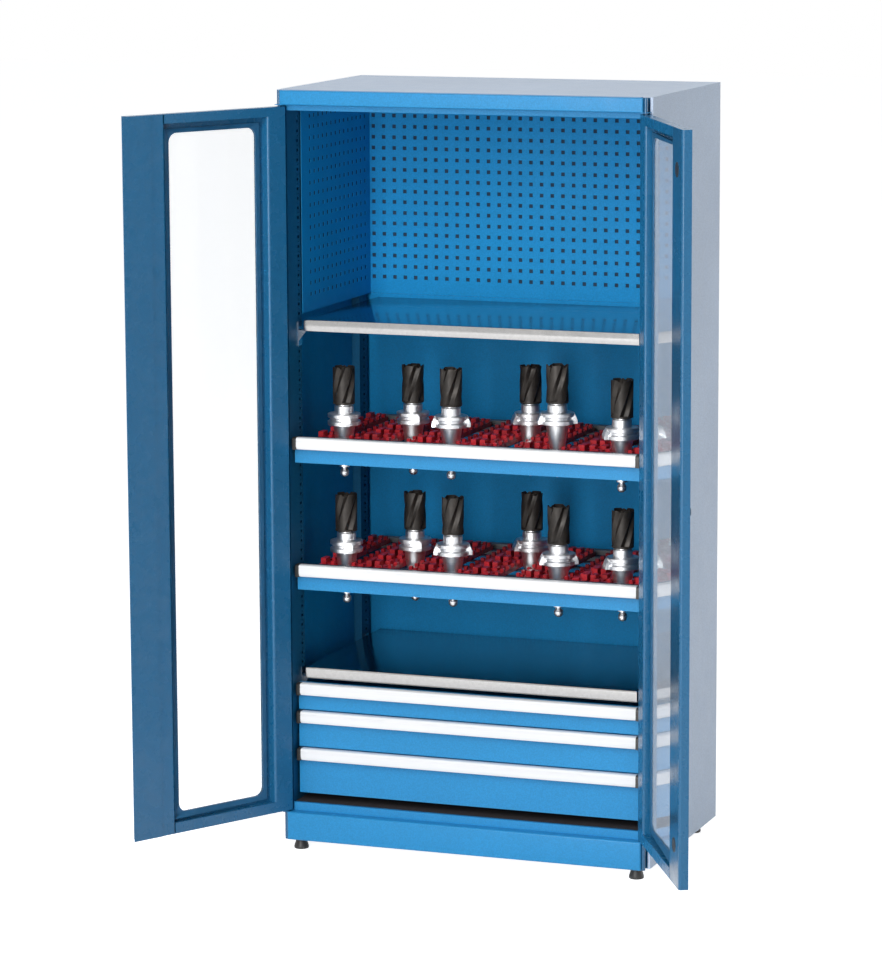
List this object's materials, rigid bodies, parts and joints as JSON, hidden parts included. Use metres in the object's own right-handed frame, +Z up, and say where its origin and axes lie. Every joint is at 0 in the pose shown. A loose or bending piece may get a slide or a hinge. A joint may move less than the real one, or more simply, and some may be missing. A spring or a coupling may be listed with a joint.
{
  "type": "storage cabinet",
  "caption": "Tall steel tool cabinet with two glazed doors, perforated upper compartment, shelves, pull-out tool holder frames and drawers on levelling feet.",
  "frame": {"origin": "on the floor, under the middle of the carcass's width and depth", "axes": "+Z up, -Y out of the open front, +X to the right of someone facing the front"},
  "size_m": [1.4806, 1.0523, 2],
  "materials": {
    "grey_paint": "light grey powder coat",
    "blue_paint": "blue powder coat",
    "zinc": "galvanised sheet",
    "white_aluminium": "pale anodised extrusion",
    "black_plastic": "moulded black",
    "clear_pane": "clear pane",
    "red_plastic": "red moulding",
    "tool_steel": "ground steel",
    "black_steel": "blackened steel"
  },
  "bodies": {
    "cabinet": {"left_side_panel": "grey_paint", "right_side_panel": "grey_paint", "top_panel": "grey_paint", "rear_cover": "grey_paint", "base_panel": "grey_paint", "kick_plate": "blue_paint", "top_fascia": "blue_paint", "hinge_posts": "zinc", "front_left_upright": "blue_paint", "front_right_upright": "blue_paint", "rear_left_upright": "blue_paint", "rear_right_upright": "blue_paint", "side_liners": "blue_paint", "floor_panel": "blue_paint", "inner_back_panel": "blue_paint", "perforated_back_panel": "blue_paint", "perforated_left_panel": "blue_paint", "perforated_right_panel": "blue_paint", "upper_shelf": "zinc", "lower_shelf": "zinc", "shelf_brackets": "zinc", "drawer_runners": "zinc", "frame_runners": "zinc"},
    "foot_front_left": {"foot_front_left": "black_plastic"},
    "foot_front_right": {"foot_front_right": "black_plastic"},
    "foot_rear_left": {"foot_rear_left": "black_plastic"},
    "foot_rear_right": {"foot_rear_right": "black_plastic"},
    "left_door": {"left_door_panel": "blue_paint", "left_door_stile_cover": "blue_paint", "left_door_window": "clear_pane"},
    "right_door": {"right_door_panel": "blue_paint", "right_door_stile_cover": "blue_paint", "right_door_window": "clear_pane", "lock_case": "zinc", "rod_guide_plugs": "black_plastic"},
    "door_handle": {"door_handle": "black_steel"},
    "upper_lock_rod": {"upper_lock_rod": "zinc"},
    "lower_lock_rod": {"lower_lock_rod": "zinc"},
    "lower_drawer": {"lower_drawer_box": "blue_paint", "lower_drawer_handle": "white_aluminium", "lower_drawer_end_caps": "black_plastic"},
    "middle_drawer": {"middle_drawer_box": "blue_paint", "middle_drawer_handle": "white_aluminium", "middle_drawer_end_caps": "black_plastic"},
    "upper_drawer": {"upper_drawer_box": "blue_paint", "upper_drawer_handle": "white_aluminium", "upper_drawer_end_caps": "black_plastic"},
    "lower_frame": {"lower_frame_carrier": "blue_paint", "lower_frame_handle": "white_aluminium", "lower_frame_end_caps": "black_plastic", "lower_frame_inserts": "red_plastic", "lower_frame_tool_holders": "tool_steel", "lower_frame_cutters": "black_steel"},
    "upper_frame": {"upper_frame_carrier": "blue_paint", "upper_frame_handle": "white_aluminium", "upper_frame_end_caps": "black_plastic", "upper_frame_inserts": "red_plastic", "upper_frame_tool_holders": "tool_steel", "upper_frame_cutters": "black_steel"}
  },
  "joints": [
    {"name": "left_door_hinge", "type": "hinge", "parent": "cabinet", "child": "left_door", "pos_m": [-0.4915, -0.2955, 1], "axis": [0, 0, -1], "range_deg": [-119.1, 5.9]},
    {"name": "right_door_hinge", "type": "hinge", "parent": "cabinet", "child": "right_door", "pos_m": [0.4915, -0.2955, 1], "axis": [0, 0, 1], "range_deg": [-119.1, 5.9]},
    {"name": "handle_turn", "type": "hinge", "parent": "right_door", "child": "door_handle", "pos_m": [0.71208, -0.66713, 1.0335], "axis": [-0.8738, -0.4863, 0], "range_deg": [0, 90]},
    {"name": "upper_rod_slide", "type": "slide", "parent": "right_door", "child": "upper_lock_rod", "axis": [0, 0, 1], "range_m": [0, 0.015]},
    {"name": "lower_rod_slide", "type": "slide", "parent": "right_door", "child": "lower_lock_rod", "axis": [0, 0, -1], "range_m": [0, 0.015]},
    {"name": "lower_drawer_slide", "type": "slide", "parent": "cabinet", "child": "lower_drawer", "axis": [0, -1, 0], "range_m": [0, 0.4]},
    {"name": "middle_drawer_slide", "type": "slide", "parent": "cabinet", "child": "middle_drawer", "axis": [0, -1, 0], "range_m": [0, 0.4]},
    {"name": "upper_drawer_slide", "type": "slide", "parent": "cabinet", "child": "upper_drawer", "axis": [0, -1, 0], "range_m": [0, 0.4]},
    {"name": "lower_frame_slide", "type": "slide", "parent": "cabinet", "child": "lower_frame", "axis": [0, -1, 0], "range_m": [0, 0.4]},
    {"name": "upper_frame_slide", "type": "slide", "parent": "cabinet", "child": "upper_frame", "axis": [0, -1, 0], "range_m": [-0.0096, 0.3904]},
    {"name": "foot_front_left_turn", "type": "hinge", "parent": "cabinet", "child": "foot_front_left", "pos_m": [-0.464, -0.2655, 0.015], "axis": [0, 0, 1], "continuous": true},
    {"name": "foot_front_right_turn", "type": "hinge", "parent": "cabinet", "child": "foot_front_right", "pos_m": [0.464, -0.2655, 0.015], "axis": [0, 0, 1], "continuous": true},
    {"name": "foot_rear_left_turn", "type": "hinge", "parent": "cabinet", "child": "foot_rear_left", "pos_m": [-0.464, 0.2375, 0.015], "axis": [0, 0, 1], "continuous": true},
    {"name": "foot_rear_right_turn", "type": "hinge", "parent": "cabinet", "child": "foot_rear_right", "pos_m": [0.464, 0.2375, 0.015], "axis": [0, 0, 1], "continuous": true}
  ],
  "couplings": [
    {"joint": "upper_rod_slide", "follows": "handle_turn", "m_per_rad": 0.0095},
    {"joint": "lower_rod_slide", "follows": "handle_turn", "m_per_rad": 0.0095}
  ]
}
